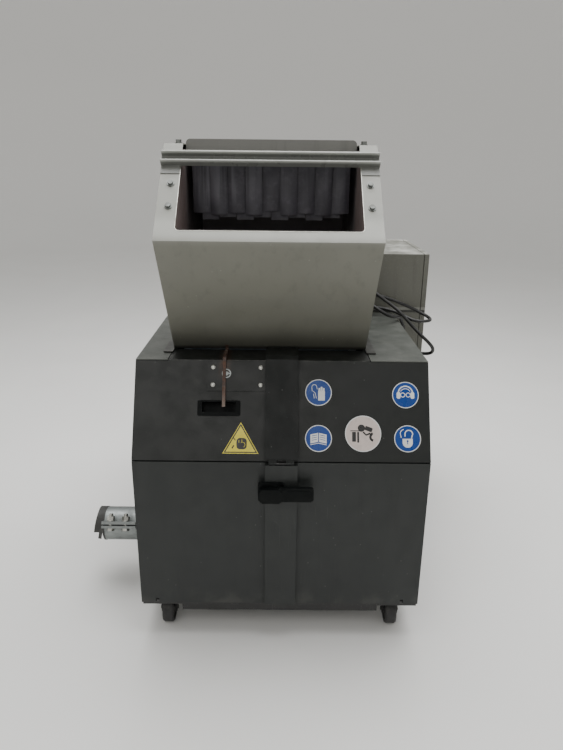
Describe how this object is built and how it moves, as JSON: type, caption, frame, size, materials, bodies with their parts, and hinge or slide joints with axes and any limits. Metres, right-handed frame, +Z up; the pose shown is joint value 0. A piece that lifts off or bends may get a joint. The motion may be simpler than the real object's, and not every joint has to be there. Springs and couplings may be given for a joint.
{
  "type": "plastics granulator",
  "caption": "Beside-the-press plastics granulator: tilt-back feed hopper with a rubber curtain over a sound enclosure on casters, side outlet pipe and electrical cabinet.",
  "frame": {"origin": "centre of the footprint, on the floor, measured without the mains cable, its coil and its plug", "axes": "+Z up, +X to the operator's right, +Y from the operator to the machine's back"},
  "size_m": [0.9905, 1.078, 1.211],
  "materials": {
    "enclosure_paint": "satin powder coat, dark grey",
    "deck_paint": "satin powder coat, mid grey",
    "hopper_paint": "satin powder coat, grey, worn at its edges",
    "hopper_lining": "dusty sheet, brownish",
    "cabinet_paint": "textured powder coat",
    "black_paint": "black, dusty",
    "zinc_steel": "zinc plated",
    "galvanised": "galvanised, dull",
    "rusty_steel": "bare, rusted",
    "machine_paint": "blue-grey enamel",
    "rotor_steel": "machined",
    "knife_steel": "ground",
    "pulley_iron": "turned",
    "motor_paint": "blue enamel",
    "belt_rubber": "matt",
    "curtain_rubber": "matt, dusty",
    "tyre_rubber": "matt",
    "black_plastic": "grained",
    "gear_plastic": "moulded",
    "red_plastic": "moulded",
    "green_plastic": "moulded",
    "cable_sheath": "matt",
    "sticker_film": "printed film"
  },
  "bodies": {
    "enclosure": {"base_plate": "black_paint", "case_panels": "enclosure_paint", "deck_plate": "deck_paint", "seam_rail": "black_paint", "hinge_pins": "zinc_steel", "chamber_cheeks": "machine_paint", "chamber_beams": "machine_paint", "bed_knives": "knife_steel", "bearings": "machine_paint", "collecting_pan": "galvanised", "outlet_pipe": "galvanised", "coupling_halves": "galvanised", "coupling_bolts": "zinc_steel", "motor_body": "motor_paint", "drive_belts": "belt_rubber", "drive_housing": "enclosure_paint", "cabinet_box": "cabinet_paint", "cabinet_gear": "gear_plastic", "cable_gland": "black_plastic", "mains_cable": "cable_sheath", "cable_coil": "cable_sheath", "mains_plug": "red_plastic", "caster_plates": "black_paint"},
    "rotor": {"rotor": "rotor_steel", "rotor_knives": "knife_steel", "rotor_pulley": "pulley_iron", "flywheel": "pulley_iron"},
    "motor": {"motor_shaft": "knife_steel", "motor_pulley": "pulley_iron"},
    "cradle": {"screen_cradle": "machine_paint", "screen": "rotor_steel"},
    "cap": {"outlet_cap": "belt_rubber"},
    "cabinet_door": {"cabinet_door": "cabinet_paint"},
    "isolator": {"isolator_knob": "red_plastic"},
    "start": {"start_button": "green_plastic"},
    "stop": {"stop_button": "red_plastic"},
    "cover": {"upper_cover": "enclosure_paint", "cover_strip": "enclosure_paint", "lock_plate": "enclosure_paint", "lock_strip": "rusty_steel", "recess_grip": "black_plastic", "cover_screws": "zinc_steel", "stickers": "sticker_film"},
    "ring": {"lock_ring": "zinc_steel"},
    "door": {"lower_door": "enclosure_paint", "door_strip": "enclosure_paint", "latch_plate": "black_plastic"},
    "latch": {"latch_lever": "black_plastic"},
    "hopper": {"hopper_shell": "hopper_paint", "hopper_liner": "hopper_lining", "mouth_rail": "hopper_paint", "baffle_plate": "hopper_paint", "hopper_bolts": "hopper_paint"},
    "curtain": {"curtain_strips": "curtain_rubber"},
    "fork_left": {"caster_fork_left": "black_paint"},
    "fork_right": {"caster_fork_right": "black_paint"},
    "wheel_fl": {"wheel_front_left": "tyre_rubber"},
    "wheel_fr": {"wheel_front_right": "tyre_rubber"},
    "wheel_rl": {"wheel_rear_left": "tyre_rubber"},
    "wheel_rr": {"wheel_rear_right": "tyre_rubber"}
  },
  "joints": [
    {"name": "rotor_spin", "type": "hinge", "parent": "enclosure", "child": "rotor", "pos_m": [0.0075, -0.145, 0.47], "axis": [1, 0, 0], "continuous": true},
    {"name": "motor_spin", "type": "hinge", "parent": "enclosure", "child": "motor", "pos_m": [-0.062, 0.295, 0.212], "axis": [1, 0, 0], "continuous": true},
    {"name": "cradle_swing", "type": "hinge", "parent": "enclosure", "child": "cradle", "pos_m": [0.0075, 0, 0.41], "axis": [1, 0, 0], "range_deg": [0, 20]},
    {"name": "cap_slide", "type": "slide", "parent": "enclosure", "child": "cap", "axis": [-1, 0, 0], "range_m": [0, 0.05]},
    {"name": "cabinet_door_swing", "type": "hinge", "parent": "enclosure", "child": "cabinet_door", "pos_m": [0.491, 0.503, 0.596], "axis": [0, 0, 1], "range_deg": [0, 110]},
    {"name": "isolator_turn", "type": "hinge", "parent": "enclosure", "child": "isolator", "pos_m": [0.37, 0.503, 0.8], "axis": [0, 1, 0], "range_deg": [0, 90]},
    {"name": "start_press", "type": "slide", "parent": "enclosure", "child": "start", "axis": [0, -1, 0], "range_m": [0, 0.005], "stiffness_N_per_m": 400},
    {"name": "stop_press", "type": "slide", "parent": "enclosure", "child": "stop", "axis": [0, -1, 0], "range_m": [0, 0.005], "stiffness_N_per_m": 400},
    {"name": "cover_tilt", "type": "hinge", "parent": "enclosure", "child": "cover", "pos_m": [0.038, -0.514, 0.499], "axis": [1, 0, 0], "range_deg": [0, 75]},
    {"name": "ring_turn", "type": "hinge", "parent": "cover", "child": "ring", "pos_m": [-0.094, -0.40896, 0.6835], "axis": [0, -0.887, 0.4617], "range_deg": [0, 90]},
    {"name": "door_drop", "type": "hinge", "parent": "enclosure", "child": "door", "pos_m": [0.038, -0.501, 0.106], "axis": [1, 0, 0], "range_deg": [0, 90]},
    {"name": "latch_turn", "type": "hinge", "parent": "door", "child": "latch", "pos_m": [0.012, -0.525, 0.427], "axis": [0, 1, 0], "range_deg": [0, 90]},
    {"name": "hopper_tilt", "type": "hinge", "parent": "enclosure", "child": "hopper", "pos_m": [0.0075, 0.083, 0.737], "axis": [-1, 0, 0], "range_deg": [0, 70]},
    {"name": "curtain_swing", "type": "hinge", "parent": "hopper", "child": "curtain", "pos_m": [0.0075, -0.279, 1.166], "axis": [1, 0, 0], "range_deg": [-20, 50]},
    {"name": "swivel_left", "type": "hinge", "parent": "enclosure", "child": "fork_left", "pos_m": [-0.254, -0.414, 0.083], "axis": [0, 0, 1], "continuous": true},
    {"name": "swivel_right", "type": "hinge", "parent": "enclosure", "child": "fork_right", "pos_m": [0.33, -0.414, 0.083], "axis": [0, 0, 1], "continuous": true},
    {"name": "roll_front_left", "type": "hinge", "parent": "fork_left", "child": "wheel_fl", "pos_m": [-0.254, -0.442, 0.0375], "axis": [1, 0, 0], "continuous": true},
    {"name": "roll_front_right", "type": "hinge", "parent": "fork_right", "child": "wheel_fr", "pos_m": [0.33, -0.442, 0.0375], "axis": [1, 0, 0], "continuous": true},
    {"name": "roll_rear_left", "type": "hinge", "parent": "enclosure", "child": "wheel_rl", "pos_m": [-0.254, 0.425, 0.0375], "axis": [1, 0, 0], "continuous": true},
    {"name": "roll_rear_right", "type": "hinge", "parent": "enclosure", "child": "wheel_rr", "pos_m": [0.33, 0.425, 0.0375], "axis": [1, 0, 0], "continuous": true}
  ],
  "couplings": [
    {"joint": "motor_spin", "follows": "rotor_spin", "ratio": 2}
  ]
}
